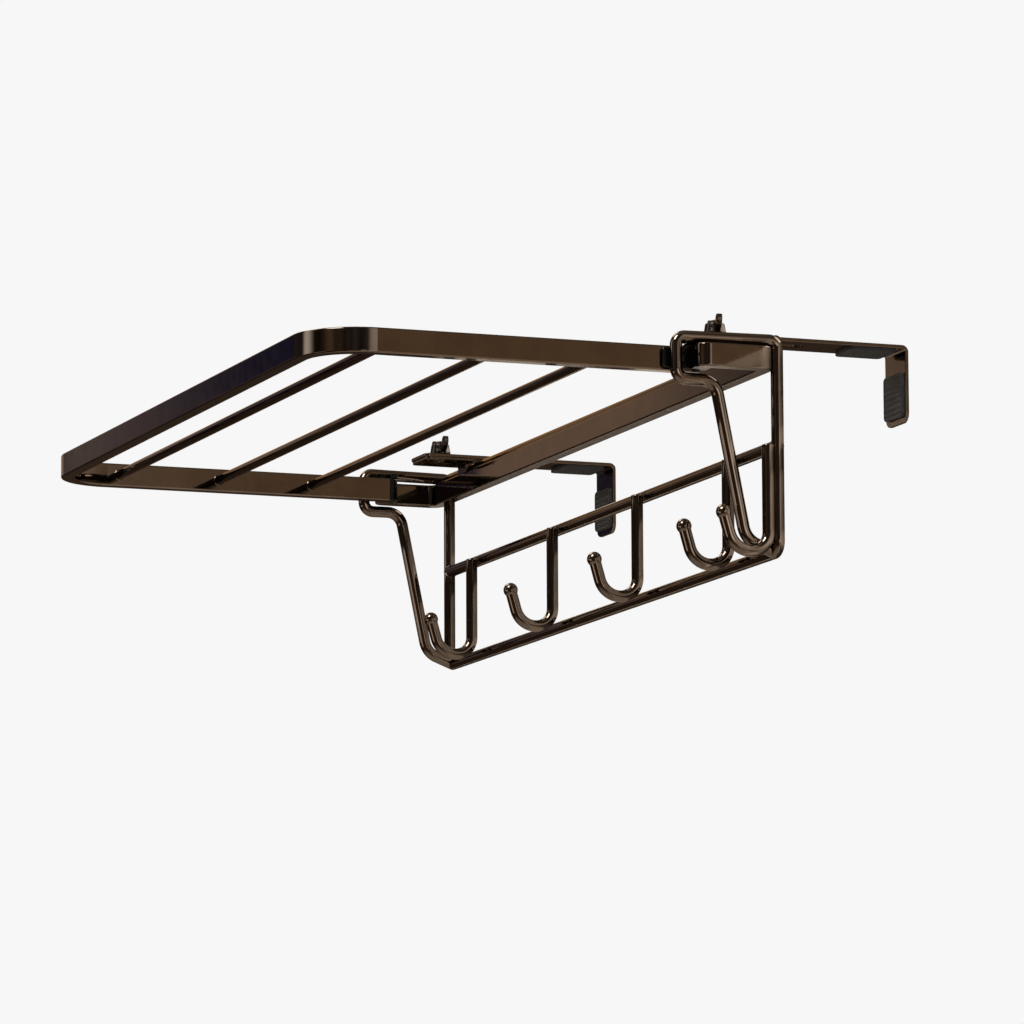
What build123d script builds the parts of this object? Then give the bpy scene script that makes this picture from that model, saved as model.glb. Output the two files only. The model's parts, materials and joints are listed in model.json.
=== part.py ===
from build123d import *
import math
import os

# Fold-down airer with two clamps that reach over a top edge.
# X runs along the rack, -Y points out to its front, Z is up.  Pieces are drawn
# in a working frame (Y = 0 on the axis of the rear legs, Z = 0 on the axis of
# the lower hook rail) and moved to the part's own frame when they are written:
# its origin is where the plane behind the legs meets the plane under the strap
# pads, midway between the two clamps.

# ---------------------------------------------------------------- dimensions, mm
HALF_W = 187.5            # half distance between the axes of the two legs
WIRE_D = 5.0              # brackets, rails and hooks
ROD_D = 4.2               # cross rods of the swinging frame

# The side wire: it goes up the leg, out along the top arm, round the nose, and
# comes back down as a brace a little inside the leg, to end on the lower rail.
FOOT_Z = -0.2             # height of the lower rail
LEG_TOP = 84.0            # height of the top arm and of the top cross rail
NOSE_X, NOSE_Y = 184.4, -41.8
RETURN_Z = 67.2           # lower run of the nose
HIP_X, HIP_Y = 183.9, -25.0
BRACE_X = 183.6
HEEL = (-12.4, 4.6)       # where the brace turns towards the lower rail
BEND = dict(foot=4.5, top=3.2, nose=3.6, chin=4.2, hip=7.0, heel=9.0)
STUB_END = 178.0          # the leg's foot turns in to here and meets the lower rail

UPPER_RAIL_Z = 42.05
UPPER_RAIL_END = 186.9    # runs in to the legs
HOOK_X = (-146.0, -47.0, 50.5, 148.0)
HOOK_Y = -4.9             # the hooks stand against the front of the upper rail
HOOK_TOP_Z = 42.1
END_HOOK_X, END_HOOK_Y = 188.8, -4.75       # fifth hook, in front of the right leg
HOOK_LOW_Z = -0.68
HOOK_FRONT_Y = -19.8
HOOK_TIP = (-24.05, 14.3)
HOOK_R1, HOOK_R2 = 7.7, 9.1
BALL_R = 3.1

BAR_H, BAR_T, BAR_WALL = 10.0, 6.0, 1.2     # flat tube of both U frames
BAR_Z0 = 71.0                               # its underside
BAR_EDGE_R = 0.7

FRAME_HALF = 180.0        # outer face of the swinging frame's side bars
FRAME_FRONT = -191.0      # outer face of its front bar
FRAME_END = -33.3         # open rear ends of its tube
FRAME_CORNER_R = 26.0
ROD_Y = (-159.2, -113.3, -70.0)

REAR_HALF = 193.0         # outer face of the fixed U's side returns
REAR_BACK = -2.3          # rear face of the fixed U, against the legs
REAR_END = -29.4          # open front ends of its tube
REAR_Z0, REAR_H = 71.5, 9.5
REAR_CORNER_R = 6.0
REAR_INNER_R = 2.0
CAP = 5.6                 # closed, rounded end welded on each return
CAP_R = 5.0
BLOCK_Y = (-34.6, -27.6)  # the hinge block lies against the inner side of that end
PEG_Y, PEG_D, PEG_L = -32.0, 5.0, 4.2

PIVOT_Y, PIVOT_Z = -38.0, 76.0
PIN_D = 4.0
PIN_RUN = 0.05            # running clearance of the pin, radial
TONGUE_X = (180.25, 181.75)
STOP_Y = (-32.2, -29.2)
STOP_GAP = 0.12

STRAP_X = 159.3           # centre of each clamp
STRAP_W = 20.0
STRAP_T = 1.5
STRAP_Z0 = 87.8
STRAP_FRONT = -25.3
LIP_BACK = 65.5
LIP_Z = 58.0
PAD_T = 1.5
SLOT_W = 5.9
STUD_Y = -14.65
SLIDE = 35.0
TAB_Z0, TAB_T = 86.5, 1.2
TAB_FRONT = -24.7
TAB_FOOT_Y = (-4.7, -2.35)    # the tab stands on the rear bar here
TAB_FOOT_W = 9.6
STUD_D = 5.0
STUD_TOP = 96.2
WASHER_Z0, WASHER_T, WASHER_D = 89.45, 0.7, 9.8
NUT_Z0 = 90.27
NUT_TURN = {"left": -3.0, "right": -10.0}     # how each wing nut was left

SEAT_FACE = 2.5       # the legs' rear side
SEAT_TOP = STRAP_Z0 - PAD_T
SHIFT = Vector(0, -SEAT_FACE, -SEAT_TOP)

R = WIRE_D / 2
ZC = BAR_Z0 + BAR_H / 2

os.makedirs("parts", exist_ok=True)
written = {}


def write(name, shape):
    solids = shape.solids()
    out = solids[0] if len(solids) == 1 else Compound(solids)
    out = out.moved(Location(SHIFT))
    out.label = name
    export_step(out, "parts/" + name + ".step")
    written[name] = out


# ---------------------------------------------------------------- helpers
def bent_wire(points, radii, dia, closed=False):
    """Round wire along straight runs and tangent bends; exact cylinders and tori."""
    pts = [Vector(*p) for p in points]
    n = len(pts)
    cuts = []
    for i in range(n):
        r = radii[i]
        if not r:
            cuts.append((pts[i], pts[i], None))
            continue
        a = (pts[i] - pts[i - 1]).normalized()
        b = (pts[(i + 1) % n] - pts[i]).normalized()
        turn = math.radians(a.get_angle(b))
        t = r * math.tan(turn / 2)
        axis = a.cross(b).normalized()
        start = pts[i] - a * t
        centre = start + axis.cross(a) * r
        cuts.append((start, pts[i] + b * t, (centre, axis, math.degrees(turn), a)))
    pieces = []
    for i in range(n):
        bend = cuts[i][2]
        if bend:
            centre, axis, turn, tangent = bend
            section = Plane(origin=cuts[i][0], z_dir=tangent) * Circle(dia / 2)
            pieces.append(revolve(section, Axis(centre, axis), turn))
    for i in range(n if closed else n - 1):
        a, b = cuts[i][1], cuts[(i + 1) % n][0]
        run = b - a
        if run.length > 1e-4:
            pieces.append(Plane(origin=a, z_dir=run.normalized())
                          * Cylinder(dia / 2, run.length,
                                     align=(Align.CENTER, Align.CENTER, Align.MIN)))
    out = pieces[0]
    for p in pieces[1:]:
        out = out + p
    return out


def rod_x(x0, x1, y, z, dia, edge=0.0):
    c = Plane(origin=(x0, y, z), z_dir=(1, 0, 0)) * Cylinder(
        dia / 2, x1 - x0, align=(Align.CENTER, Align.CENTER, Align.MIN))
    if edge:
        c = chamfer(c.edges().filter_by(GeomType.CIRCLE), edge)
    return c


def block(x0, x1, y0, y1, z0, z1):
    return Pos((x0 + x1) / 2, (y0 + y1) / 2, (z0 + z1) / 2) * Box(
        abs(x1 - x0), abs(y1 - y0), abs(z1 - z0))


def disc(x, y, z0, z1, dia):
    return Pos(x, y, z0) * Cylinder(dia / 2, z1 - z0,
                                    align=(Align.CENTER, Align.CENTER, Align.MIN))


def plan(x0, x1, y0, y1, corner, which):
    """Rectangle in plan with one pair of corners rounded (front or back)."""
    face = Pos((x0 + x1) / 2, (y0 + y1) / 2) * Rectangle(x1 - x0, y1 - y0)
    want = y0 if which == "front" else y1
    vs = [v for v in face.vertices() if abs(v.Y - want) < 1e-6]
    return fillet(vs, corner) if corner else face


def u_tube(half, y_bar, y_end, corner, inner_corner=None, low=BAR_Z0, high=BAR_H):
    """Flat tube bent to a U: bar along X at y_bar, side runs out to y_end."""
    front = y_bar < y_end
    s = 1 if front else -1

    def shell(inset, z0, z1, over):
        w = half - inset
        t = BAR_T - 2 * inset
        yo, yi = y_bar + s * inset, y_bar + s * (inset + t)
        ye = y_end + s * over
        ro = max(corner - inset, 0.3)
        ri = corner - inset - t if inner_corner is None else inner_corner + inset
        side = "front" if front else "back"
        outer = plan(-w, w, min(yo, ye), max(yo, ye), ro, side)
        far = ye + s * 5
        inner = plan(-(w - t), w - t, min(yi, far), max(yi, far), ri if ri > 0.3 else 0.0, side)
        return Pos(0, 0, z0) * extrude(outer - inner, z1 - z0)

    body = shell(0, low, low + high, 0)
    rims = [e for e in body.edges()
            if abs(e.center().Z - low) < 1e-6 or abs(e.center().Z - low - high) < 1e-6]
    rims = [e for e in rims if abs(e.center().Y - y_end) > 1e-3]
    body = fillet(rims, BAR_EDGE_R)
    return body - shell(BAR_WALL, low + BAR_WALL, low + high - BAR_WALL, 4)


def mirrored(shape, side):
    return shape if side == "right" else mirror(shape, Plane.YZ)


# ---------------------------------------------------------------- welded bracket
for side, sx in (("left", -1), ("right", 1)):
    run = [(BRACE_X, -0.5, FOOT_Z + 0.19), (BRACE_X, *HEEL), (HIP_X, HIP_Y, RETURN_Z),
           (NOSE_X, NOSE_Y, RETURN_Z), (NOSE_X, NOSE_Y, LEG_TOP), (HALF_W, 0, LEG_TOP),
           (HALF_W, 0, FOOT_Z), (STUB_END, 0, FOOT_Z)]
    bends = [0, BEND["heel"], BEND["hip"], BEND["chin"], BEND["nose"], BEND["top"], BEND["foot"], 0]
    write(side + "_bracket_wire", bent_wire([(sx * x, y, z) for x, y, z in run], bends, WIRE_D))

write("top_cross_rail", rod_x(-HALF_W + 0.6, HALF_W - 0.6, 0, LEG_TOP, WIRE_D))
write("upper_hook_rail", rod_x(-UPPER_RAIL_END, UPPER_RAIL_END, 0, UPPER_RAIL_Z, WIRE_D))
write("lower_hook_rail", rod_x(-STUB_END, STUB_END, 0, FOOT_Z, WIRE_D))

hooks = [(x, HOOK_Y) for x in HOOK_X] + [(END_HOOK_X, END_HOOK_Y)]
for i, (x, y) in enumerate(hooks):
    dy = y - HOOK_Y
    path = [(x, y, HOOK_TOP_Z), (x, y, HOOK_LOW_Z), (x, HOOK_FRONT_Y + dy, HOOK_LOW_Z),
            (x, HOOK_TIP[0] + dy, HOOK_TIP[1])]
    hook = bent_wire(path, [0, HOOK_R1, HOOK_R2, 0], WIRE_D)
    top = [e for e in hook.edges().filter_by(GeomType.CIRCLE)
           if abs(e.center().Z - HOOK_TOP_Z) < 1e-4]
    hook = fillet(top, 0.6)
    hook = hook + Pos(x, HOOK_TIP[0] + dy, HOOK_TIP[1]) * Sphere(BALL_R)
    write("hook_%d" % (i + 1), hook)

rear = u_tube(REAR_HALF, REAR_BACK, REAR_END, REAR_CORNER_R, REAR_INNER_R, REAR_Z0, REAR_H)
RX0, RX1 = REAR_HALF - BAR_T, REAR_HALF
RZC = REAR_Z0 + REAR_H / 2
cap = block(RX0, RX1, REAR_END - CAP, REAR_END, REAR_Z0, REAR_Z0 + REAR_H)
front = [e for e in cap.edges().filter_by(Axis.Z) if e.center().Y < REAR_END - CAP + 0.1]
cap = fillet([e for e in front if e.center().X > RX1 - 0.1], CAP_R)
front = [e for e in cap.edges().filter_by(Axis.Z)
         if e.center().Y < REAR_END - CAP + 0.1 and e.center().X < RX0 + 0.1]
cap = fillet(front, 0.8)
rims = [e for e in cap.edges()
        if abs(abs(e.center().Z - RZC) - REAR_H / 2) < 1e-6 and e.center().Y < REAR_END - 0.1]
cap = fillet(rims, BAR_EDGE_R)
cap = cap - rod_x(RX0 - 1, RX0 + PEG_L, PEG_Y, RZC, PEG_D)
write("rear_bar", rear + cap + mirror(cap, Plane.YZ))

# ---------------------------------------------------------------- hinges
for side in ("left", "right"):
    z0, z1 = BAR_Z0, BAR_Z0 + BAR_H
    base = block(TONGUE_X[0], RX0, *BLOCK_Y, REAR_Z0 + 0.3, REAR_Z0 + REAR_H - 0.3)
    back = [e for e in base.edges().filter_by(Axis.Z)
            if e.center().Y > BLOCK_Y[1] - 0.1 and e.center().X < RX0 - 0.1]
    base = fillet(back, 1.2)
    peg = rod_x(RX0 - 0.5, RX0 + PEG_L, PEG_Y, RZC, PEG_D)
    # side profile of the tongue: a low blade with an ear that carries the stop
    blade = Polyline((-46.5, 72.0), (-30.6, 72.0), (-30.6, 83.4), (-34.4, 83.4),
                     (-37.4, 81.2), (-39.4, 80.0), (-46.5, 80.0), close=True)
    prof = make_face(blade)
    prof = fillet([v for v in prof.vertices() if v.X < -46], 1.4)
    prof = fillet([v for v in prof.vertices() if abs(v.X + 34.4) < 1e-3], 1.2)
    prof = fillet([v for v in prof.vertices() if abs(v.X + 37.4) < 1e-3], 1.6)
    tongue = extrude(Plane(origin=(TONGUE_X[0], 0, 0), x_dir=(0, 1, 0), z_dir=(1, 0, 0)) * prof,
                     TONGUE_X[1] - TONGUE_X[0])
    outline = [e for e in tongue.edges() if abs(e.center().X - TONGUE_X[1]) < 1e-6]
    tongue = fillet(outline, 0.45)
    ear = block(TONGUE_X[0], TONGUE_X[1], -30.7, STOP_Y[1], z0 + BAR_H + STOP_GAP, 83.4)
    xs = FRAME_HALF - 5.4
    ledge = block(xs, TONGUE_X[0] + 1, STOP_Y[0], STOP_Y[1], z0 + BAR_H + STOP_GAP, 83.4)
    end = [e for e in ledge.edges() if abs(e.center().X - xs) < 1e-6]
    ledge = fillet(end, 0.6)
    insert = base + peg + tongue + ear + ledge
    bore = rod_x(170, 190, PIVOT_Y, PIVOT_Z, PIN_D)
    insert = insert - bore
    write(side + "_hinge_insert", mirrored(insert, side))

    pin = rod_x(FRAME_HALF - 4.1, TONGUE_X[1], PIVOT_Y, PIVOT_Z, PIN_D, 0.4)
    write(side + "_pivot_pin", mirrored(pin, side))

# ---------------------------------------------------------------- swinging frame
tube = u_tube(FRAME_HALF, FRAME_FRONT, FRAME_END, FRAME_CORNER_R)
for sx in (-1, 1):
    a, b = sorted((sx * (FRAME_HALF - BAR_WALL - 0.6), sx * (FRAME_HALF + 1)))
    tube = tube - rod_x(a, b, PIVOT_Y, PIVOT_Z, PIN_D + 0.7)
write("frame_tube", tube)

for i, y in enumerate(ROD_Y):
    h = FRAME_HALF - BAR_T
    write("airer_rod_%d" % (i + 1), rod_x(-h, h, y, ZC, ROD_D))

for side in ("left", "right"):
    x0, x1 = FRAME_HALF - BAR_T, FRAME_HALF
    z0, z1 = BAR_Z0, BAR_Z0 + BAR_H
    w = BAR_WALL + 0.05
    stem = block(x0 + w, x1 - w, FRAME_END - 13, FRAME_END + 0.5, z0 + w, z1 - w)
    head = block(x0, x1, FRAME_END, FRAME_END + 4.3, z0, z1)
    far = [e for e in head.edges().filter_by(Axis.Z) if e.center().Y > FRAME_END + 4]
    head = fillet(far, 2.6)
    rims = [e for e in head.edges()
            if abs(abs(e.center().Z - ZC) - BAR_H / 2) < 1e-6 and e.center().Y > FRAME_END + 0.1]
    head = fillet(rims, BAR_EDGE_R)
    plug = stem + head - rod_x(x0 + w + 0.6, x1, PIVOT_Y, PIVOT_Z, PIN_D + 2 * PIN_RUN)
    write(side + "_end_plug", mirrored(plug, side))

# ---------------------------------------------------------------- clamps
for side, sx in (("left", -1), ("right", 1)):
    cx = sx * STRAP_X
    h = STRAP_W / 2

    tab = block(cx - h, cx + h, TAB_FRONT, -2.2, TAB_Z0, TAB_Z0 + TAB_T)
    tab = fillet([e for e in tab.edges().filter_by(Axis.Z) if e.center().Y < -20], 2.2)
    rim = [e for e in tab.edges() if abs(e.center().Z - TAB_Z0) < 1e-6 and e.center().Y < -3]
    tab = fillet(rim, 0.35)
    foot = block(cx - TAB_FOOT_W / 2, cx + TAB_FOOT_W / 2, *TAB_FOOT_Y,
                 REAR_Z0 + REAR_H - 0.05, TAB_Z0 + 0.4)
    foot = fillet(foot.edges().filter_by(Axis.Z), 0.6)
    tab = tab + foot
    stud = disc(cx, STUD_Y, TAB_Z0, STUD_TOP, STUD_D)
    stud = chamfer([e for e in stud.edges().filter_by(GeomType.CIRCLE)
                    if e.center().Z > STUD_TOP - 1e-3], 0.7)
    head = disc(cx, STUD_Y, TAB_Z0, TAB_Z0 + 0.6, 8.4)
    stud = stud + head
    tab = tab - disc(cx, STUD_Y, TAB_Z0 - 1, TAB_Z0 + TAB_T + 1, STUD_D) - disc(
        cx, STUD_Y, TAB_Z0 - 1, TAB_Z0 + 0.6, 8.4)
    write(side + "_clamp_tab", tab)
    write(side + "_clamp_stud", stud)

    washer = disc(cx, STUD_Y, WASHER_Z0, WASHER_Z0 + WASHER_T, WASHER_D) - disc(
        cx, STUD_Y, WASHER_Z0 - 1, WASHER_Z0 + WASHER_T + 1, STUD_D)
    washer = fillet([e for e in washer.edges().filter_by(GeomType.CIRCLE)
                     if e.radius > STUD_D / 2 + 1], 0.25)
    write(side + "_clamp_washer", washer)

    # strap: flat, slotted, with a lip bent down at its rear end
    zt = STRAP_Z0 + STRAP_T
    side_view = Polyline((STRAP_FRONT, STRAP_Z0), (LIP_BACK - STRAP_T, STRAP_Z0),
                         (LIP_BACK - STRAP_T, LIP_Z), (LIP_BACK, LIP_Z),
                         (LIP_BACK, zt), (STRAP_FRONT, zt), close=True)
    prof = make_face(side_view)
    prof = fillet([v for v in prof.vertices()
                   if abs(v.X - LIP_BACK) < 1e-3 and v.Y > zt - 1e-3], 1.2 + STRAP_T)
    prof = fillet([v for v in prof.vertices()
                   if abs(v.X - LIP_BACK + STRAP_T) < 1e-3 and abs(v.Y - STRAP_Z0) < 1e-3], 1.2)
    strap = extrude(Plane(origin=(cx - h, 0, 0), x_dir=(0, 1, 0), z_dir=(1, 0, 0)) * prof, STRAP_W)
    ends = [e for e in strap.edges().filter_by(Axis.Z) if abs(e.center().Y - STRAP_FRONT) < 1e-3]
    strap = fillet(ends, 2.2)
    toes = [e for e in strap.edges().filter_by(Axis.Y) if abs(e.center().Z - LIP_Z) < 1e-3]
    strap = fillet(toes, 4.0)
    slot = Pos(cx, STUD_Y + SLIDE / 2, STRAP_Z0 - 1) * extrude(
        SlotCenterToCenter(SLIDE, SLOT_W, rotation=90), STRAP_T + 2)
    strap = strap - slot
    edge = [e for e in strap.edges() if e.center().Y > STRAP_FRONT - 1
            and abs(abs(e.center().X - cx) - h) < 1e-6
            and e.geom_type in (GeomType.LINE, GeomType.CIRCLE) and e.length > 1.6]
    strap = fillet(edge, 0.3)
    write(side + "_hook_strap", strap)

    pad = block(cx - h + 1, cx + h - 1, 41.0, 61.0, STRAP_Z0 - PAD_T, STRAP_Z0)
    pad = fillet(pad.edges().filter_by(Axis.Z), 2.0)
    write(side + "_strap_pad", pad)
    yb = LIP_BACK - STRAP_T
    lip = block(cx - h + 1, cx + h - 1, yb - PAD_T, yb, LIP_Z + 2.5, LIP_Z + 20.5)
    lip = fillet(lip.edges().filter_by(Axis.Y), 2.0)
    write(side + "_lip_pad", lip)

    # wing nut: tapered hub with two rounded ears
    hub = Pos(cx, STUD_Y, NUT_Z0) * Cone(4.6, 3.9, 4.6,
                                         align=(Align.CENTER, Align.CENTER, Align.MIN))
    ear = Polyline((2.0, 0.4), (4.8, 0.9), (8.2, 3.0), (9.3, 5.4), (8.8, 7.2), (6.8, 7.25),
                   (5.2, 5.2), (3.6, 4.2), (2.0, 4.2), close=True)
    ear = make_face(ear)
    for vx, r in ((9.3, 1.4), (8.8, 1.0), (6.8, 1.0), (5.2, 1.6), (8.2, 1.6)):
        ear = fillet([v for v in ear.vertices() if abs(v.X - vx) < 1e-3], r)
    wing = extrude(Plane(origin=(0, 1.15, 0), x_dir=(1, 0, 0), z_dir=(0, -1, 0)) * ear, 2.3)
    rim = [e for e in wing.edges() if abs(abs(e.center().Y) - 1.15) < 1e-6
           and e.center().X > 2.2]
    wing = fillet(rim, 0.7)
    wings = Rot(0, 0, NUT_TURN[side]) * wing + Rot(0, 0, 180 + NUT_TURN[side]) * wing
    nut = hub + Pos(cx, STUD_Y, NUT_Z0) * wings
    nut = nut - disc(cx, STUD_Y, NUT_Z0 - 1, NUT_Z0 + 12, STUD_D + 2 * PIN_RUN)
    write(side + "_wing_nut", nut)

lo = Vector(1e9, 1e9, 1e9)
hi = Vector(-1e9, -1e9, -1e9)
for s in written.values():
    b = s.bounding_box()
    lo = Vector(min(lo.X, b.min.X), min(lo.Y, b.min.Y), min(lo.Z, b.min.Z))
    hi = Vector(max(hi.X, b.max.X), max(hi.Y, b.max.Y), max(hi.Z, b.max.Z))
print("nodes", len(written), "box", lo, hi)
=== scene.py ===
import bpy
import bmesh
import json
import math
from mathutils import Vector, Matrix


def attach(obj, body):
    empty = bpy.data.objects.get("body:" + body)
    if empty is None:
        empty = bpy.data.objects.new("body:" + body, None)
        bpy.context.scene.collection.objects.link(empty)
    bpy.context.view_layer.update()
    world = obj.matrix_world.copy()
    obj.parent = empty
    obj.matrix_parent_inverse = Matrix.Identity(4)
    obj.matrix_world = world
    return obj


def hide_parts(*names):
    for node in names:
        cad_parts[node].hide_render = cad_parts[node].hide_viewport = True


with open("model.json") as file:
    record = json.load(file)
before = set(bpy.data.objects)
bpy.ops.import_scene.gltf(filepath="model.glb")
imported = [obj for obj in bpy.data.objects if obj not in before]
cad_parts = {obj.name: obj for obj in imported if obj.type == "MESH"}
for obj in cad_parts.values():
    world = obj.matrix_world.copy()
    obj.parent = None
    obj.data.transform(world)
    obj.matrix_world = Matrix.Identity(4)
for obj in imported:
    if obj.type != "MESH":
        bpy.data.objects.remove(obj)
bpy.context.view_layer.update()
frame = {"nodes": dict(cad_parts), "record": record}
nodes = frame["nodes"]
scene = bpy.context.scene

# ------------------------------------------------------------------ camera
# Row frame, metres.  Long lens, a little below the rack, looking almost along it.
C = Vector((2.491459, -0.990446, -0.451052))
yaw, pitch, roll = math.radians(69.1922), math.radians(8.6433), math.radians(0.242)
fwd = Vector((-math.sin(yaw) * math.cos(pitch), math.cos(yaw) * math.cos(pitch), math.sin(pitch)))
right = Vector((math.cos(yaw), math.sin(yaw), 0.0))
down = fwd.cross(right)
r2 = math.cos(roll) * right + math.sin(roll) * down
d2 = -math.sin(roll) * right + math.cos(roll) * down
cam_data = bpy.data.cameras.new("camera")
cam = bpy.data.objects.new("camera", cam_data)
scene.collection.objects.link(cam)
rot = Matrix((r2, -d2, -fwd)).transposed()
cam.matrix_world = Matrix.Translation(C) @ rot.to_4x4()
cam_data.sensor_width = 36.0
cam_data.lens = 36.0 * 6422.107 / 1024.0
cam_data.clip_start = 0.05
cam_data.clip_end = 60.0
scene.camera = cam

scene.view_settings.view_transform = "Standard"
scene.view_settings.look = "None"


# ------------------------------------------------------------------ node helpers
class Tree:
    def __init__(self, tree):
        self.n = tree.nodes
        self.l = tree.links
        for node in list(self.n):
            self.n.remove(node)

    def new(self, kind, **props):
        node = self.n.new(kind)
        for k, v in props.items():
            setattr(node, k, v)
        return node

    def put(self, sock, value):
        if hasattr(value, "is_linked") or hasattr(value, "links"):
            self.l.new(value, sock)
        else:
            sock.default_value = value

    def math(self, op, a, b=None, c=None, clamp=False):
        m = self.new("ShaderNodeMath", operation=op, use_clamp=clamp)
        self.put(m.inputs[0], a)
        if b is not None:
            self.put(m.inputs[1], b)
        if c is not None:
            self.put(m.inputs[2], c)
        return m.outputs[0]

    def rise(self, x, lo, hi):
        """0 below lo, 1 above hi, smooth between."""
        m = self.new("ShaderNodeMapRange", interpolation_type="SMOOTHSTEP")
        self.put(m.inputs[0], x)
        m.inputs[1].default_value = lo
        m.inputs[2].default_value = hi
        return m.outputs[0]

    def window(self, x, a, b, c, d):
        """0 outside a..d, 1 inside b..c."""
        return self.math("MULTIPLY", self.rise(x, a, b), self.math("SUBTRACT", 1.0, self.rise(x, c, d)))

    def ramp(self, x, stops, lo, hi, interp="LINEAR"):
        m = self.new("ShaderNodeMapRange")
        self.put(m.inputs[0], x)
        m.inputs[1].default_value = lo
        m.inputs[2].default_value = hi
        r = self.new("ShaderNodeValToRGB")
        r.color_ramp.interpolation = interp
        self.l.new(m.outputs[0], r.inputs[0])
        els = r.color_ramp.elements
        while len(els) > 1:
            els.remove(els[-1])
        for i, (p, col) in enumerate(stops):
            e = els[0] if i == 0 else els.new((p - lo) / (hi - lo))
            e.position = (p - lo) / (hi - lo)
            e.color = (col[0], col[1], col[2], 1.0)
        return r.outputs[0]

    def mix(self, f, a, b):
        m = self.new("ShaderNodeMix", data_type="RGBA")
        self.put(m.inputs[0], f)
        for sock, v in ((m.inputs[6], a), (m.inputs[7], b)):
            if isinstance(v, tuple):
                sock.default_value = (v[0], v[1], v[2], 1.0)
            else:
                self.l.new(v, sock)
        return m.outputs[2]

    def add(self, a, b, f=1.0):
        m = self.new("ShaderNodeMix", data_type="RGBA", blend_type="ADD")
        self.put(m.inputs[0], f)
        for sock, v in ((m.inputs[6], a), (m.inputs[7], b)):
            if isinstance(v, tuple):
                sock.default_value = (v[0], v[1], v[2], 1.0)
            else:
                self.l.new(v, sock)
        return m.outputs[2]


# ------------------------------------------------------------------ studio light
# Polished dark metal shows its surroundings more than its own colour, so the studio is a
# ring of soft warm and dark panels with two narrow strip lights and one high soft key.
world = bpy.data.worlds.new("studio")
scene.world = world
world.use_nodes = True
world.cycles.sampling_method = "NONE"
w = Tree(world.node_tree)
coord = w.new("ShaderNodeTexCoord")
sep = w.new("ShaderNodeSeparateXYZ")
w.l.new(coord.outputs["Generated"], sep.inputs[0])
DEG = 180.0 / math.pi
az = w.math("MULTIPLY", w.math("ARCTAN2", sep.outputs[0], w.math("MULTIPLY", sep.outputs[1], -1.0)), DEG)
el = w.math("MULTIPLY", w.math("ARCSINE", sep.outputs[2]), DEG)

ring = w.ramp(az, [
    (-180, (0.60, 0.50, 0.40)), (-150, (0.46, 0.32, 0.19)), (-128, (0.24, 0.12, 0.045)), (-104, (0.21, 0.105, 0.042)),
    (-95, (0.13, 0.095, 0.092)), (-80, (0.15, 0.12, 0.13)), (-73.2, (0.35, 0.285, 0.265)), (-72.55, (0.13, 0.108, 0.122)),
    (-71.9, (0.024, 0.023, 0.078)), (-66, (0.036, 0.034, 0.075)), (-58, (0.075, 0.060, 0.062)),
    (-44, (0.060, 0.046, 0.042)), (-12, (0.040, 0.029, 0.024)), (6, (0.032, 0.024, 0.020)),
    (14, (0.085, 0.060, 0.042)), (22, (0.24, 0.165, 0.10)), (28, (0.25, 0.17, 0.105)), (35, (0.10, 0.072, 0.050)), (46, (0.105, 0.075, 0.054)),
    (52, (0.045, 0.034, 0.029)), (58, (0.085, 0.064, 0.052)), (64, (0.055, 0.043, 0.037)), (70, (0.115, 0.092, 0.085)),
    (79, (0.040, 0.034, 0.040)), (85, (0.044, 0.037, 0.040)), (91, (0.095, 0.077, 0.066)), (104, (0.34, 0.25, 0.17)), (109.5, (0.37, 0.25, 0.16)),
    (126, (0.46, 0.34, 0.23)), (150, (0.54, 0.46, 0.38)), (180, (0.60, 0.50, 0.40)),
], -180, 180)
low = w.ramp(az, [
    (-180, (0.24, 0.18, 0.13)), (-112, (0.068, 0.045, 0.031)), (-70, (0.068, 0.045, 0.031)), (-20, (0.045, 0.028, 0.018)),
    (20, (0.12, 0.060, 0.027)), (60, (0.12, 0.060, 0.027)), (78, (0.040, 0.028, 0.020)), (96, (0.55, 0.44, 0.34)), (112, (0.80, 0.60, 0.45)), (130, (0.50, 0.38, 0.28)), (180, (0.24, 0.18, 0.13)),
], -180, 180)
deep = (0.64, 0.55, 0.45)
high = w.ramp(el, [(0, (0.06, 0.048, 0.040)), (28, (0.06, 0.048, 0.040)), (50, (0.14, 0.11, 0.085)), (90, (0.46, 0.40, 0.33))], 0, 90)

sky = w.mix(w.rise(el, 30, 56), ring, high)
floor_side = w.mix(w.rise(el, -52, -26), deep, low)
room = w.mix(w.rise(el, -4, 1.5), floor_side, sky)

strip_a = w.math("MULTIPLY", w.window(az, -36, -25, -22, -4), w.window(el, -12, -4, 30, 36))
strip_b = w.math("MULTIPLY", w.window(az, 91.5, 101, 102, 109), w.window(el, -10, -3, 28, 34))
key = w.math("MULTIPLY", w.window(az, 6, 12, 38, 44), w.window(el, 36, 40, 59, 63))
left_top = w.math("MULTIPLY", w.window(az, -96, -90, -56, -50), w.window(el, 38, 42, 56, 60))
back_top = w.math("MULTIPLY", w.rise(w.math("ABSOLUTE", az), 140, 154), w.window(el, 14, 20, 48, 56))
strip_f = w.math("MULTIPLY", w.window(az, -8, -3, 15, 22), w.window(el, -26, -20, -5, -2))
strip_g = w.math("MULTIPLY", w.window(az, 79, 82, 88, 91), w.window(el, -16, -11, 3, 6))
strip_h = w.math("MULTIPLY", w.window(az, -84, -76, -60, -50), w.window(el, -6, -3, 3.5, 6.5))
room = w.add(room, (0.20, 0.15, 0.105), strip_h)
room = w.add(room, (1.7, 1.45, 1.25), strip_f)
room = w.add(room, (1.95, 1.87, 1.78), strip_g)
room = w.add(room, (1.65, 1.6, 1.55), strip_a)
strip_c = w.math("MULTIPLY", w.window(az, 91.5, 95, 99, 105), w.window(el, -3, 0, 5.8, 7.4))
room = w.add(room, (3.6, 3.5, 3.4), strip_c)
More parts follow.
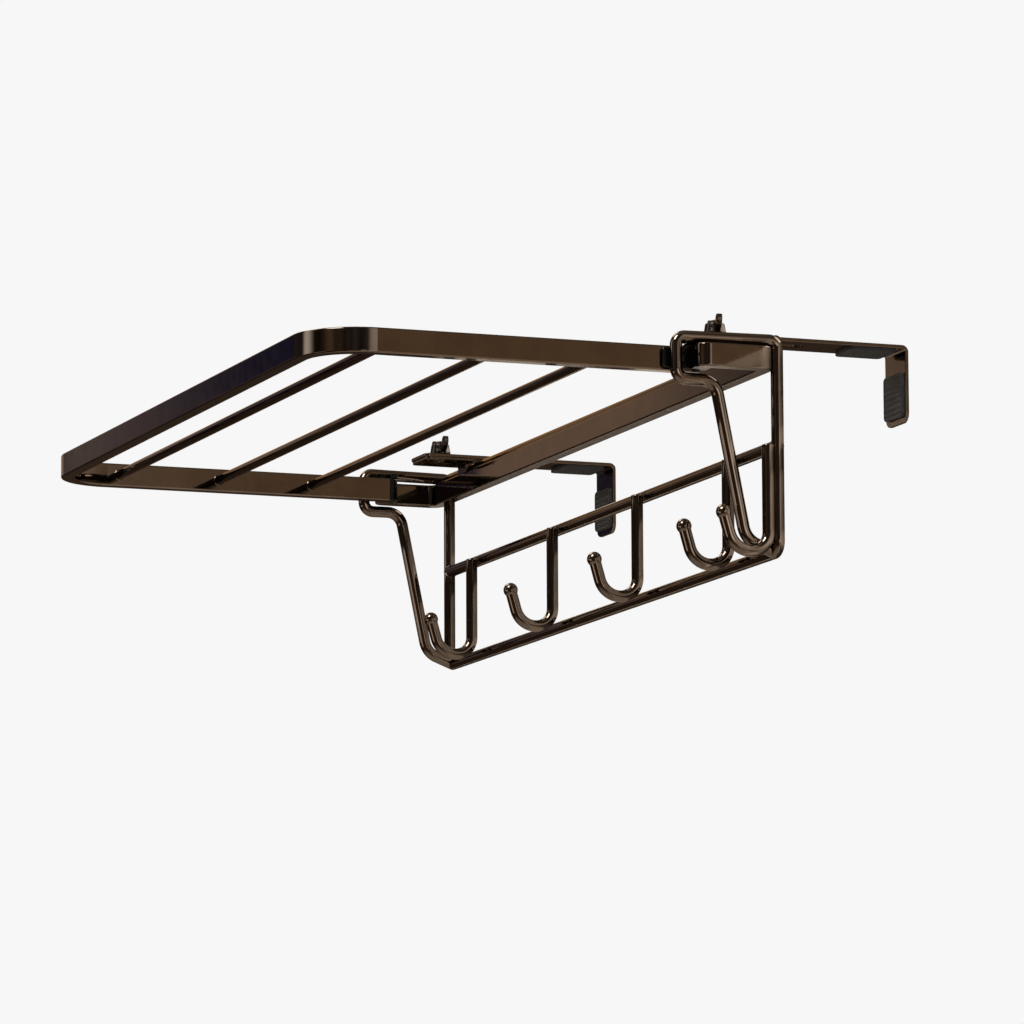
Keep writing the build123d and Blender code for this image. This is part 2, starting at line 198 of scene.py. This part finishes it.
room = w.add(room, (0.80, 0.78, 0.76), strip_b)
room = w.add(room, (17.0, 16.6, 16.0), key)
room = w.add(room, (7.0, 6.8, 6.5), left_top)
room = w.add(room, (4.0, 3.85, 3.65), back_top)

path = w.new("ShaderNodeLightPath")
bg_seen = w.new("ShaderNodeBackground")
bg_seen.inputs["Color"].default_value = (0.93, 0.93, 0.93, 1)
bg_room = w.new("ShaderNodeBackground")
w.l.new(room, bg_room.inputs["Color"])
bg_dome = w.new("ShaderNodeBackground")
w.l.new(w.mix(w.rise(el, -12, 8), (0.26, 0.245, 0.23), (1.23, 1.21, 1.19)), bg_dome.inputs["Color"])
m1 = w.new("ShaderNodeMixShader")
w.l.new(path.outputs["Is Glossy Ray"], m1.inputs[0])
w.l.new(bg_dome.outputs[0], m1.inputs[1])
w.l.new(bg_room.outputs[0], m1.inputs[2])
m2 = w.new("ShaderNodeMixShader")
w.l.new(path.outputs["Is Camera Ray"], m2.inputs[0])
w.l.new(m1.outputs[0], m2.inputs[1])
w.l.new(bg_seen.outputs[0], m2.inputs[2])
wout = w.new("ShaderNodeOutputWorld")
w.l.new(m2.outputs[0], wout.inputs["Surface"])

# Studio cards, seen only in reflections: a pale one close behind the legs, a dark flag in front
# of them, and two small coloured ones for the rear bar and the rails.
def card(name, corners):
    me = bpy.data.meshes.new(name)
    me.from_pydata(corners, [], [(0, 1, 2, 3)])
    o = bpy.data.objects.new(name, me)
    scene.collection.objects.link(o)
    o.visible_camera = False
    o.visible_diffuse = False
    o.visible_shadow = False
    o.visible_transmission = False
    return o


def y_card(name, x0, x1, y, z0, z1):
    return card(name, [(x0, y, z0), (x1, y, z0), (x1, y, z1), (x0, y, z1)])


rear_card = y_card("rear_card", -0.222, 0.262, 0.0008, -0.70, -0.0015)
flag = y_card("dark_flag", -0.36, 0.26, -0.200, -0.056, -0.0172)
gold_card = card("gold_card", [(-0.5, -0.13, 0.10), (-0.5, 0.12, 0.10), (-0.5, 0.12, 0.34), (-0.5, -0.13, 0.34)])
side_card = card("side_card", [(-0.5, -0.30, 0.0), (-0.5, -0.150, 0.0), (-0.5, -0.150, 0.15), (-0.5, -0.30, 0.15)])


# ------------------------------------------------------------------ materials
def principled(name):
    m = bpy.data.materials.new(name)
    m.use_nodes = True
    t = Tree(m.node_tree)
    out = t.new("ShaderNodeOutputMaterial")
    b = t.new("ShaderNodeBsdfPrincipled")
    t.l.new(b.outputs[0], out.inputs["Surface"])
    tc = t.new("ShaderNodeTexCoord")
    return m, t, b, tc.outputs["Object"]


def noise(t, vec, scale, detail=2.0, rough=0.5, stretch=None):
    if stretch:
        mp = t.new("ShaderNodeMapping")
        mp.inputs["Scale"].default_value = stretch
        t.l.new(vec, mp.inputs["Vector"])
        vec = mp.outputs[0]
    n = t.new("ShaderNodeTexNoise")
    n.inputs["Scale"].default_value = scale
    n.inputs["Detail"].default_value = detail
    n.inputs["Roughness"].default_value = rough
    t.l.new(vec, n.inputs["Vector"])
    return n.outputs[0]


def coating(name, dark, light, edge, r_lo, r_hi, peel, wave):
    """Brown-black lustre coat on steel: cloudy tint, uneven gloss, slight orange peel and slow waviness."""
    m, t, b, vec = principled(name)
    cloud = noise(t, vec, 90.0, 4.0, 0.6)
    tint = t.mix(t.rise(cloud, 0.32, 0.70), dark, light)
    t.l.new(tint, b.inputs["Base Color"])
    b.inputs["Metallic"].default_value = 1.0
    b.inputs["Specular Tint"].default_value = (edge[0], edge[1], edge[2], 1.0)
    smear = noise(t, vec, 160.0, 3.0, 0.55)
    fine = noise(t, vec, 1500.0, 2.0, 0.5)
    r = t.math("ADD", t.math("MULTIPLY", smear, 0.75), t.math("MULTIPLY", fine, 0.25))
    mr = t.new("ShaderNodeMapRange")
    t.l.new(r, mr.inputs[0])
    mr.inputs[1].default_value, mr.inputs[2].default_value = 0.3, 0.7
    mr.inputs[3].default_value, mr.inputs[4].default_value = r_lo, r_hi
    t.l.new(mr.outputs[0], b.inputs["Roughness"])
    slow = noise(t, vec, 70.0, 1.0, 0.4)
    orange = noise(t, vec, 700.0, 1.0, 0.5)
    b1 = t.new("ShaderNodeBump")
    b1.inputs["Strength"].default_value = 1.0
    b1.inputs["Distance"].default_value = wave
    t.l.new(slow, b1.inputs["Height"])
    b2 = t.new("ShaderNodeBump")
    b2.inputs["Strength"].default_value = 1.0
    b2.inputs["Distance"].default_value = peel
    t.l.new(orange, b2.inputs["Height"])
    t.l.new(b1.outputs[0], b2.inputs["Normal"])
    t.l.new(b2.outputs[0], b.inputs["Normal"])
    return m


EDGE = (0.75, 0.72, 0.70)
MAT = {
    "coated_wire": coating("coated_wire", (0.132, 0.107, 0.087), (0.160, 0.129, 0.104), EDGE, 0.03, 0.075, 0.0000010, 0.000012),
    "coated_bar": coating("coated_bar", (0.136, 0.109, 0.087), (0.158, 0.126, 0.100), EDGE, 0.045, 0.09, 0.0000006, 0.000008),
    "coated_strap": coating("coated_strap", (0.118, 0.097, 0.080), (0.146, 0.118, 0.096), EDGE, 0.10, 0.18, 0.0000006, 0.000008),
    "dark_fastener": coating("dark_fastener", (0.045, 0.039, 0.034), (0.068, 0.058, 0.049), EDGE, 0.14, 0.26, 0.000003, 0.000015),
}


def plain(name, col, alt, r_lo, r_hi, ior=1.5, metal=0.0, grain=900.0, depth=0.00001, stretch=None):
    m, t, b, vec = principled(name)
    c = noise(t, vec, 120.0, 4.0, 0.6)
    t.l.new(t.mix(t.rise(c, 0.35, 0.68), col, alt), b.inputs["Base Color"])
    g = noise(t, vec, grain, 3.0, 0.6, stretch)
    mr = t.new("ShaderNodeMapRange")
    t.l.new(g, mr.inputs[0])
    mr.inputs[1].default_value, mr.inputs[2].default_value = 0.3, 0.7
    mr.inputs[3].default_value, mr.inputs[4].default_value = r_lo, r_hi
    t.l.new(mr.outputs[0], b.inputs["Roughness"])
    b.inputs["IOR"].default_value = ior
    b.inputs["Metallic"].default_value = metal
    bp = t.new("ShaderNodeBump")
    bp.inputs["Strength"].default_value = 1.0
    bp.inputs["Distance"].default_value = depth
    t.l.new(g, bp.inputs["Height"])
    t.l.new(bp.outputs[0], b.inputs["Normal"])
    return m


MAT["black_nylon"] = plain("black_nylon", (0.0016, 0.0015, 0.0015), (0.0030, 0.0028, 0.0027), 0.14, 0.28, 1.30, 0.0, 1800.0, 0.000005)
MAT["grip_rubber"] = plain("grip_rubber", (0.010, 0.0098, 0.0095), (0.018, 0.0175, 0.017), 0.62, 0.86, 1.48, 0.0, 2400.0, 0.00003)

SLOT = {s["node"]: s["material_slot"] for s in frame["record"]["subparts"]}
for n, o in nodes.items():
    o.data.materials.clear()
    o.data.materials.append(MAT[SLOT[n]])

# ------------------------------------------------------------------ finer pieces
def at(x, y, z):
    """Drawing millimetres to the row frame."""
    return Vector((x, y - 2.5, z - 86.3)) / 1000.0


def piece(name, verts, faces, slot_name, body, stands_for=None, angle=38.0):
    me = bpy.data.meshes.new(name)
    me.from_pydata([tuple(v) for v in verts], [], faces)
    bm = bmesh.new()
    bm.from_mesh(me)
    bmesh.ops.remove_doubles(bm, verts=bm.verts, dist=1e-7)
    bmesh.ops.recalc_face_normals(bm, faces=bm.faces)
    for f in bm.faces:
        f.smooth = True
    for e in bm.edges:
        if len(e.link_faces) == 2 and e.calc_face_angle(0.0) > math.radians(angle):
            e.smooth = False
    bm.to_mesh(me)
    bm.free()
    o = bpy.data.objects.new(name, me)
    scene.collection.objects.link(o)
    me.materials.append(MAT[slot_name])
    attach(o, body)
    if stands_for:
        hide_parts(stands_for)
    return o


def sweep(pts, radius, closed=False, seg=14, ripple=0.75, depth=0.16):
    """Rippled weld bead along a line of points (drawing millimetres); open ends taper."""
    n = len(pts)
    acc = [0.0]
    for i in range(1, n):
        acc.append(acc[-1] + (pts[i] - pts[i - 1]).length)
    total = acc[-1]
    verts, faces = [], []
    side = None
    for i in range(n):
        a, b = pts[(i - 1) % n if closed else max(i - 1, 0)], pts[(i + 1) % n if closed else min(i + 1, n - 1)]
        t = (b - a).normalized()
        if side is None:
            side = t.orthogonal().normalized()
        side = (side - t * side.dot(t)).normalized()
        up = t.cross(side)
        r = radius * (1.0 - depth * abs(math.sin(math.pi * acc[i] / ripple)))
        if not closed:
            q = min(acc[i], total - acc[i]) / (1.6 * radius)
            r *= math.sqrt(max(0.0, 1.0 - (1.0 - min(q, 1.0)) ** 2)) * 0.97 + 0.03
        for k in range(seg):
            ph = 2 * math.pi * k / seg
            v = pts[i] + side * (r * math.cos(ph)) + up * (r * math.sin(ph))
            verts.append(at(*v))
    for i in range(n if closed else n - 1):
        j = (i + 1) % n
        for k in range(seg):
            l = (k + 1) % seg
            faces.append((i * seg + k, i * seg + l, j * seg + l, j * seg + k))
    if not closed:
        faces.append(tuple(range(seg - 1, -1, -1)))
        faces.append(tuple((n - 1) * seg + k for k in range(seg)))
    return verts, faces


def ring(centre, axis_sign, r, size, seed):
    """Concave fillet of weld round a rod's end where it meets the bar's inner face (axis along X)."""
    prof = [(-0.15, size), (0.0, size), (0.10, 0.60 * size), (0.26, 0.30 * size), (0.50, 0.10 * size), (0.85, -0.03), (0.85, -0.3), (-0.15, -0.3)]
    seg = 72
    verts, faces = [], []
    for k in range(seg):
        ph = 2 * math.pi * k / seg
        g = 1.0 + 0.10 * math.sin(5 * ph + seed) + 0.06 * math.sin(11 * ph + 2.1 * seed)
        for a, dr in prof:
            rr = r + (dr * g if dr > 0 else dr)
            verts.append(at(centre[0] - axis_sign * a * (0.9 + 0.1 * g), centre[1] + rr * math.cos(ph), centre[2] + rr * math.sin(ph)))
    m = len(prof)
    for k in range(seg):
        l = (k + 1) % seg
        for i in range(m):
            j = (i + 1) % m
            faces.append((k * m + i, k * m + j, l * m + j, l * m + i))
    return verts, faces


def joined(*parts):
    verts, faces = [], []
    for v, f in parts:
        b = len(verts)
        verts += v
        faces += [tuple(i + b for i in q) for q in f]
    return verts, faces


# welds of the three rods to the swinging frame
for i, y in enumerate((-159.2, -113.3, -70.0)):
    v, f = joined(ring((174.0, y, 76.0), 1, 2.1, 0.42, 1.0 + i), ring((-174.0, y, 76.0), -1, 2.1, 0.42, 4.0 + i))
    piece("rod_%d_welds" % (i + 1), v, f, "coated_wire", "swing_frame", angle=60)

# welds of the upper rail's ends to the legs
for side, sx in (("left", -1), ("right", 1)):
    pts = []
    for k in range(96):
        ph = 2 * math.pi * k / 96
        y, z = 2.5 * math.cos(ph), 2.5 * math.sin(ph)
        pts.append(Vector((sx * (187.5 - math.sqrt(max(0.0, 6.25 - y * y)) - 0.12), y, 42.05 + z)))
    v, f = sweep(pts, 0.42, True)
    piece(side + "_rail_weld", v, f, "coated_wire", "bracket", angle=70)

# short welds in the grooves between each hook's shank and the rail
for i, (x, y) in enumerate(((-146.0, -4.9), (-47.0, -4.9), (50.5, -4.9), (148.0, -4.9), (188.8, -4.75))):
    parts = []
    for sgn in (-1, 1):
        if i == 4 and sgn > 0:
            continue
        pts = [Vector((x + sgn * 1.45, y / 2, 42.05 - 2.0 + 3.4 * k / 30)) for k in range(31)]
        parts.append(sweep(pts, 0.55))
    v, f = joined(*parts)
    piece("hook_%d_weld" % (i + 1), v, f, "coated_wire", "bracket", angle=70)


# threaded studs
def thread(cx, cy, z0, z1, r, pitch, depth, head_r, head_h):
    seg, step = 60, 0.05
    rows = [(z0, 0.0), (z0, head_r - 0.12), (z0 + 0.12, head_r), (z0 + head_h, head_r), (z0 + head_h, r - depth)]
    verts, faces = [], []
    for z, rr in rows:
        for k in range(seg):
            ph = 2 * math.pi * k / seg
            verts.append(at(cx + max(rr, 1e-4) * math.cos(ph), cy + max(rr, 1e-4) * math.sin(ph), z))
    n = len(rows)
    count = int(round((z1 - z0 - head_h) / step))
    for i in range(1, count + 1):
        z = z0 + head_h + i * step
        cap = r - max(0.0, z - (z1 - 0.7)) * 0.85
        for k in range(seg):
            ph = 2 * math.pi * k / seg
            u = (z / pitch - k / seg) % 1.0
            tri = 1.0 - abs(2.0 * u - 1.0)
            h = min(1.0, max(0.0, (tri - 0.10) / 0.72))
            rr = min(r - depth * (1.0 - h), cap)
            verts.append(at(cx + rr * math.cos(ph), cy + rr * math.sin(ph), z))
        n += 1
    for i in range(n - 1):
        for k in range(seg):
            l = (k + 1) % seg
            faces.append((i * seg + k, i * seg + l, (i + 1) * seg + l, (i + 1) * seg + k))
    faces.append(tuple((n - 1) * seg + k for k in range(seg)))
    return verts, faces


# cast wing nuts
def lathe(prof, seg=64):
    verts, faces = [], []
    for k in range(seg):
        ph = 2 * math.pi * k / seg
        for r, z in prof:
            verts.append(Vector((r * math.cos(ph), r * math.sin(ph), z)))
    m = len(prof)
    for k in range(seg):
        l = (k + 1) % seg
        for i in range(m):
            j = (i + 1) % m
            faces.append((k * m + i, k * m + j, l * m + j, l * m + i))
    return verts, faces


def slab(outline, half):
    """Plate standing in the X-Z plane with a thickness that varies over it."""
    n = len(outline)
    verts = [Vector((x, half(x, z), z)) for x, z in outline] + [Vector((x, -half(x, z), z)) for x, z in outline]
    faces = [tuple(range(n)), tuple(range(2 * n - 1, n - 1, -1))]
    for i in range(n):
        j = (i + 1) % n
        faces.append((i, j, n + j, n + i))
    return verts, faces


def egg(c, r, seg=28):
    verts, faces = [], []
    rings = seg // 2
    for i in range(rings + 1):
        th = math.pi * i / rings
        for k in range(seg):
            ph = 2 * math.pi * k / seg
            verts.append(Vector((c[0] + r[0] * math.sin(th) * math.cos(ph), c[1] + r[1] * math.sin(th) * math.sin(ph), c[2] + r[2] * math.cos(th))))
    for i in range(rings):
        for k in range(seg):
            l = (k + 1) % seg
            faces.append((i * seg + k, i * seg + l, (i + 1) * seg + l, (i + 1) * seg + k))
    return verts, faces


def chaikin(pts, times):
    for _ in range(times):
        out = []
        for i in range(len(pts)):
            (ax, az_), (bx, bz) = pts[i], pts[(i + 1) % len(pts)]
            out += [(0.75 * ax + 0.25 * bx, 0.75 * az_ + 0.25 * bz), (0.25 * ax + 0.75 * bx, 0.25 * az_ + 0.75 * bz)]
        pts = out
    return pts


def fused(parts, voxel, smooth):
    """One skin over overlapping closed shapes, softened like a casting; millimetres in and out."""
    me = bpy.data.meshes.new("casting_raw")
    v, f = joined(*parts)
    me.from_pydata([tuple(q) for q in v], [], f)
    bm = bmesh.new()
    bm.from_mesh(me)
    bmesh.ops.remove_doubles(bm, verts=bm.verts, dist=1e-4)
    bmesh.ops.triangulate(bm, faces=[q for q in bm.faces if len(q.verts) > 4])
    bmesh.ops.recalc_face_normals(bm, faces=bm.faces)
    bm.to_mesh(me)
    bm.free()
    o = bpy.data.objects.new("casting_raw", me)
    scene.collection.objects.link(o)
    rm = o.modifiers.new("skin", "REMESH")
    rm.mode = "VOXEL"
    rm.voxel_size = voxel
    sm = o.modifiers.new("soft", "SMOOTH")
    sm.factor = 0.5
    sm.iterations = smooth
    dg = bpy.context.evaluated_depsgraph_get()
    got = o.evaluated_get(dg).to_mesh()
    verts = [q.co.copy() for q in got.vertices]
    faces = [tuple(q.vertices) for q in got.polygons]
    o.evaluated_get(dg).to_mesh_clear()
    bpy.data.objects.remove(o)
    bpy.data.meshes.remove(me)
    return verts, faces


hub = lathe([(2.66, 0.0), (4.45, 0.0), (4.62, 0.18), (4.55, 1.0), (4.25, 2.4), (4.02, 3.8), (3.90, 4.45), (3.72, 4.62), (2.66, 4.62)])
ear_line = chaikin([(3.0, 0.35), (4.9, 0.75), (8.3, 2.7), (9.5, 5.2), (9.1, 7.35), (6.7, 7.4), (5.3, 5.3), (4.0, 4.25), (3.0, 4.25)], 4)
ears = []
for sgn in (1, -1):
    plate = slab([(sgn * x, z) for x, z in ear_line], lambda x, z: 1.08 + 0.62 * max(0.0, (5.4 - abs(x)) / 2.4))
    ears += [plate, egg((sgn * 7.85, 0, 6.05), (1.45, 1.38, 1.36)), egg((sgn * 8.15, 0, 4.6), (1.15, 1.20, 1.25))]
nut_v, nut_f = fused([hub] + ears, 0.17, 5)

# ribbed rubber pads
def pad(hu, hv, thick, rad, put, nu=44, nv=96, pitch=2.2, depth=0.42):
    """Rounded slab in (u, v) with ribs across v on its gripping face; put maps (u, v, h) to the row frame."""
    def rounded(u, v):
        du, dv = abs(u) - (hu - rad), abs(v) - (hv - rad)
        if du > 0 and dv > 0:
            k = max(du, dv) / math.hypot(du, dv)
            u = math.copysign(hu - rad + du * k, u)
            v = math.copysign(hv - rad + dv * k, v)
        return u, v
    grid = []
    for i in range(nu + 1):
        for j in range(nv + 1):
            u, v = -hu + 2 * hu * i / nu, -hv + 2 * hv * j / nv
            m = min(hu - abs(u), hv - abs(v))
            fade = min(1.0, max(0.0, (m - 0.5) / 0.6))
            rib = 0.5 - 0.5 * math.cos(2 * math.pi * v / pitch)
            rib = rib * rib * (3 - 2 * rib)
            edge = 0.22 * max(0.0, 1.0 - m / 0.45) ** 2
            grid.append((rounded(u, v), edge + depth * rib * fade))
    verts = [put(u, v, h) for (u, v), h in grid] + [put(u, v, thick) for (u, v), h in grid]
    n = (nu + 1) * (nv + 1)
    q = lambda i, j: i * (nv + 1) + j
    faces = []
    for i in range(nu):
        for j in range(nv):
            faces.append((q(i, j), q(i + 1, j), q(i + 1, j + 1), q(i, j + 1)))
            faces.append((n + q(i, j), n + q(i, j + 1), n + q(i + 1, j + 1), n + q(i + 1, j)))
    rim = [q(i, 0) for i in range(nu)] + [q(nu, j) for j in range(nv)] + [q(i, nv) for i in range(nu, 0, -1)] + [q(0, j) for j in range(nv, 0, -1)]
    for a in range(len(rim)):
        b = (a + 1) % len(rim)
        faces.append((rim[a], n + rim[a], n + rim[b], rim[b]))
    return verts, faces


for side, sx, turn in (("left", -1, -3.0), ("right", 1, -10.0)):
    cx = sx * 159.3
    v, f = thread(cx, -14.65, 86.5, 96.2, 2.49, 0.8, 0.42, 4.2, 0.6)
    piece(side + "_stud_thread", v, f, "dark_fastener", "bracket", side + "_clamp_stud", angle=50)
    c, s_ = math.cos(math.radians(turn)), math.sin(math.radians(turn))
    v = [at(cx + c * q.x - s_ * q.y, -14.65 + s_ * q.x + c * q.y, 90.27 + q.z) for q in nut_v]
    piece(side + "_cast_nut", v, nut_f, "dark_fastener", side + "_nut", side + "_wing_nut", angle=75)
    v, f = pad(9.0, 10.0, 1.5, 2.0, lambda u, w_, h: at(cx + u, 51.0 + w_, 86.3 + h))
    piece(side + "_ribbed_strap_pad", v, f, "grip_rubber", side + "_strap", side + "_strap_pad", angle=50)
    v, f = pad(9.0, 9.0, 1.5, 2.0, lambda u, w_, h: at(cx + u, 62.5 + h, 69.5 + w_))
    piece(side + "_ribbed_lip_pad", v, f, "grip_rubber", side + "_strap", side + "_lip_pad", angle=50)
    # weld along both sides of the tab's foot on the rear bar
    parts = []
    for yy in (-4.7, -2.35):
        pts = [Vector((cx - 4.2 + 8.4 * k / 60, yy, 81.05)) for k in range(61)]
        parts.append(sweep(pts, 0.5))
    v, f = joined(*parts)
    piece(side + "_tab_weld", v, f, "coated_wire", "bracket", angle=70)

# ------------------------------------------------------------------ floor
fl = bpy.data.meshes.new("floor")
fl.from_pydata([(-5, -5, -0.72), (5, -5, -0.72), (5, 5, -0.72), (-5, 5, -0.72)], [], [(0, 1, 2, 3)])
floor = bpy.data.objects.new("floor", fl)
scene.collection.objects.link(floor)
fm, ft, fb, fvec = principled("floor_paint")
ft.l.new(ft.mix(noise(ft, fvec, 3.0, 3.0), (0.74, 0.74, 0.735), (0.77, 0.77, 0.765)), fb.inputs["Base Color"])
fb.inputs["Roughness"].default_value = 0.8
fl.materials.append(fm)
cmat, ct, cb, cvec = principled("card_cream")
cb.inputs["Roughness"].default_value = 0.7
cb.inputs["Specular IOR Level"].default_value = 0.0
cx_sep = ct.new("ShaderNodeSeparateXYZ")
ct.l.new(cvec, cx_sep.inputs[0])
cz = cx_sep.outputs[2]
# Painted shadows on the rear card: its cream base colour is darkened in bands under the two rails, behind the two legs
# and under the rear bar, as contact shadows.
painted_contact_shadow = ct.math("ADD", ct.window(cz, -0.1080, -0.0990, -0.0885, -0.0862), ct.window(cz, -0.0560, -0.0525, -0.0460, -0.0440))
painted_leg_shadow = ct.math("ADD", ct.window(cx_sep.outputs[0], 0.1740, 0.1800, 0.1878, 0.1896), ct.window(cx_sep.outputs[0], -0.2010, -0.1950, -0.1872, -0.1854))
painted_bar_shadow = ct.math("MULTIPLY", ct.window(cz, -0.0300, -0.0220, -0.0100, -0.0040), 0.6)
painted_contact_shadow = ct.math("MAXIMUM", ct.math("MAXIMUM", painted_contact_shadow, painted_leg_shadow), painted_bar_shadow)
cream = ct.mix(noise(ct, cvec, 20.0, 2.0), (0.79, 0.685, 0.58), (0.83, 0.725, 0.62))
ct.l.new(ct.mix(painted_contact_shadow, cream, (0.20, 0.165, 0.135)), cb.inputs["Base Color"])
# Painted light on the rear card: two glowing bands just above the painted rail shadows.
painted_light_bands = ct.math("ADD", ct.window(cz, -0.0858, -0.0848, -0.0800, -0.0770), ct.window(cz, -0.0436, -0.0426, -0.0378, -0.0348))
cb.inputs["Emission Color"].default_value = (1.0, 0.90, 0.80, 1.0)
# Painted light on the rear card: its right part glows in a bright stripe from about X 0.19 m to 0.22 m.
near = ct.rise(cx_sep.outputs[0], 0.190, 0.199)
far = ct.rise(cx_sep.outputs[0], 0.214, 0.226)
side = ct.math("SUBTRACT", ct.math("MULTIPLY", near, 0.60), ct.math("MULTIPLY", far, 0.58))
ct.l.new(ct.math("ADD", side, ct.math("MULTIPLY", painted_light_bands, 0.55)), cb.inputs["Emission Strength"])
rear_card.data.materials.append(cmat)


def glow(name, a, b):
    m, t, bs, vec = principled(name)
    bs.inputs["Base Color"].default_value = (0.0, 0.0, 0.0, 1.0)
    bs.inputs["Specular IOR Level"].default_value = 0.0
    t.l.new(t.mix(noise(t, vec, 12.0, 2.0), a, b), bs.inputs["Emission Color"])
    bs.inputs["Emission Strength"].default_value = 1.0
    return m


fmat, fgt, fgb, fgv = principled("flag_brown")
fgb.inputs["Base Color"].default_value = (0.0, 0.0, 0.0, 1.0)
fgb.inputs["Specular IOR Level"].default_value = 0.0
streak = fgt.rise(noise(fgt, fgv, 38.0, 1.0, 0.5, (1.0, 0.0, 0.0)), 0.44, 0.60)
fgt.l.new(fgt.mix(streak, (0.014, 0.0095, 0.0075), (0.125, 0.088, 0.068)), fgb.inputs["Emission Color"])
fgb.inputs["Emission Strength"].default_value = 1.0
flag.data.materials.append(fmat)
gold_card.data.materials.append(glow("card_gold", (0.60, 0.33, 0.13), (0.66, 0.37, 0.15)))
smat, st, sb, svec = principled("card_tan")
sb.inputs["Base Color"].default_value = (0.0, 0.0, 0.0, 1.0)
sb.inputs["Specular IOR Level"].default_value = 0.0
sb.inputs["Emission Strength"].default_value = 1.0
s_sep = st.new("ShaderNodeSeparateXYZ")
st.l.new(svec, s_sep.inputs[0])
tan = st.mix(noise(st, svec, 12.0, 2.0), (0.52, 0.385, 0.295), (0.56, 0.415, 0.32))
st.l.new(st.mix(st.rise(s_sep.outputs[1], -0.297, -0.226), (0.227, 0.19, 0.175), tan), sb.inputs["Emission Color"])
side_card.data.materials.append(smat)
floor.visible_glossy = False
